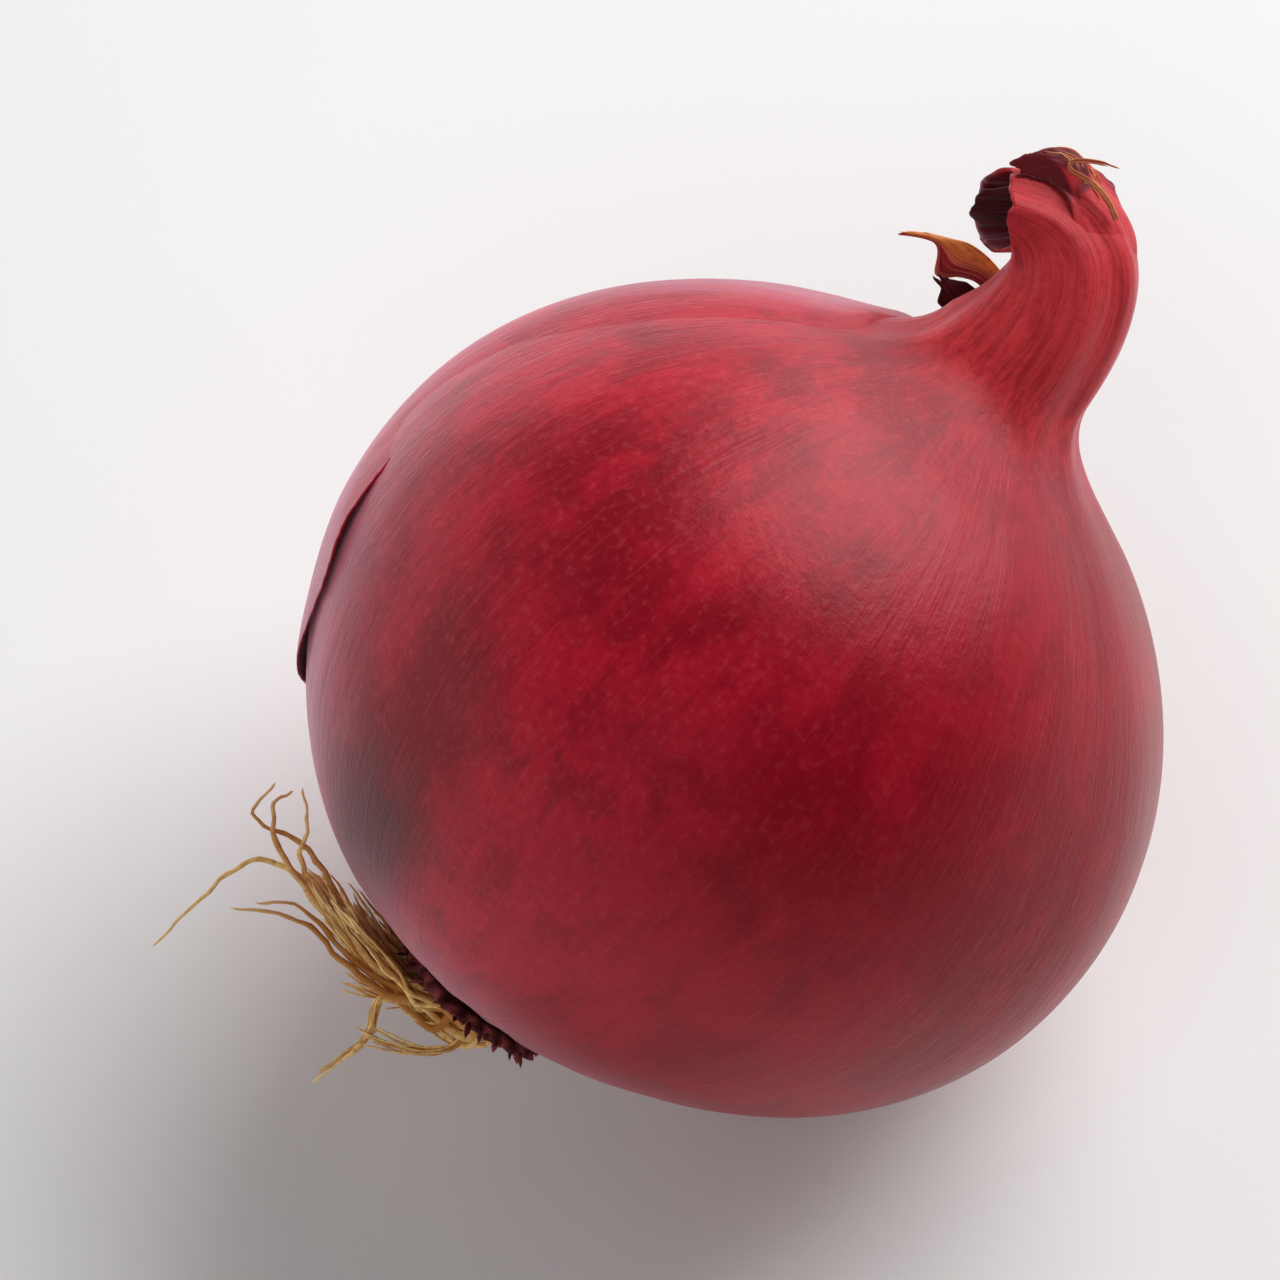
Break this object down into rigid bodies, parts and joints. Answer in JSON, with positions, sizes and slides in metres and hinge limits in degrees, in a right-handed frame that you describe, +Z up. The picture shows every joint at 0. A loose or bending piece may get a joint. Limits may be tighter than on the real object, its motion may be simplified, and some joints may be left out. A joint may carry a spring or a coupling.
{
  "type": "red onion",
  "caption": "Whole red onion lying on its side: round globe with a torn dry neck, a loose piece of outer skin, and a root plate with dry roots.",
  "frame": {"origin": "middle of the small flat spot on the globe's side that the onion rests on", "axes": "+Z up, away from the surface it rests on; the neck points to +X and rises 36.6 degrees above the surface, and the roots are at the -X end"},
  "size_m": [0.0909, 0.0757, 0.0729],
  "materials": {
    "bulb_skin": "satin",
    "pale_skin": "satin",
    "cork": "matte",
    "straw": "matte",
    "dark_husk": "matte",
    "orange_husk": "matte"
  },
  "bodies": {
    "root": {"bulb": "bulb_skin", "outer_skin": "pale_skin", "basal_plate": "cork", "roots": "straw", "inner_sheath": "dark_husk", "neck_flap": "dark_husk", "torn_strip": "orange_husk", "dark_strip": "dark_husk", "neck_fibre": "orange_husk"}
  },
  "joints": []
}
